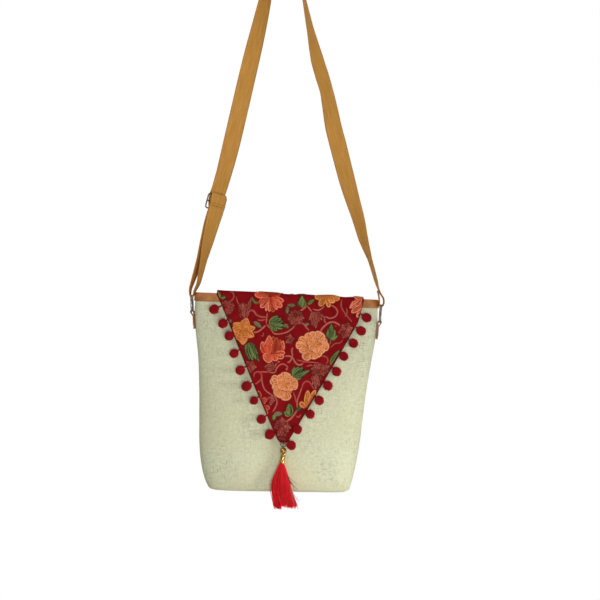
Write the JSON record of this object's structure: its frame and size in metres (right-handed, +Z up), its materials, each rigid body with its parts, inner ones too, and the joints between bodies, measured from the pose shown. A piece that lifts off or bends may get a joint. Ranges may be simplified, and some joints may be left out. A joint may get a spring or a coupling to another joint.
{
  "type": "jute sling bag",
  "caption": "Open-topped jute sling bag with a leather-bound rim, a pointed embroidered flap edged with pompoms, a tassel, and an adjustable webbing strap on side rings.",
  "frame": {"origin": "under the strap's top bend, where the bag hangs on a hook or a shoulder", "axes": "+Z up along the plumb line, -Y out of the bag's front, +X to the right seen from the front"},
  "size_m": [0.2825, 0.0866, 0.783],
  "materials": {
    "jute": "coarse plain weave, bleached jute",
    "leather": "smooth tan leather with a stitched edge",
    "embroidered_cloth": "dark red cloth with coloured floral stitching",
    "yarn": "fuzzy crimson yarn",
    "silk": "glossy red silk thread",
    "webbing": "ribbed tan cotton webbing",
    "nickel": "plain nickel plate",
    "gilt": "polished gilt"
  },
  "bodies": {
    "root": {"body": "jute", "rim_binding": "leather", "flap": "embroidered_cloth", "pompom_left_1": "yarn", "pompom_left_2": "yarn", "pompom_left_3": "yarn", "pompom_left_4": "yarn", "pompom_left_5": "yarn", "pompom_left_6": "yarn", "pompom_left_7": "yarn", "pompom_left_8": "yarn", "pompom_left_9": "yarn", "pompom_right_1": "yarn", "pompom_right_2": "yarn", "pompom_right_3": "yarn", "pompom_right_4": "yarn", "pompom_right_5": "yarn", "pompom_right_6": "yarn", "pompom_right_7": "yarn", "pompom_right_8": "yarn", "pompom_right_9": "yarn", "pompom_right_10": "yarn", "tab_left": "leather", "tab_right": "leather", "strap": "webbing", "slider": "nickel", "ring_left": "nickel", "ring_right": "nickel", "tip_loop": "yarn", "tip_ring": "nickel", "tassel_bead": "gilt", "tassel_cap": "gilt", "tassel_skirt": "silk"}
  },
  "joints": []
}
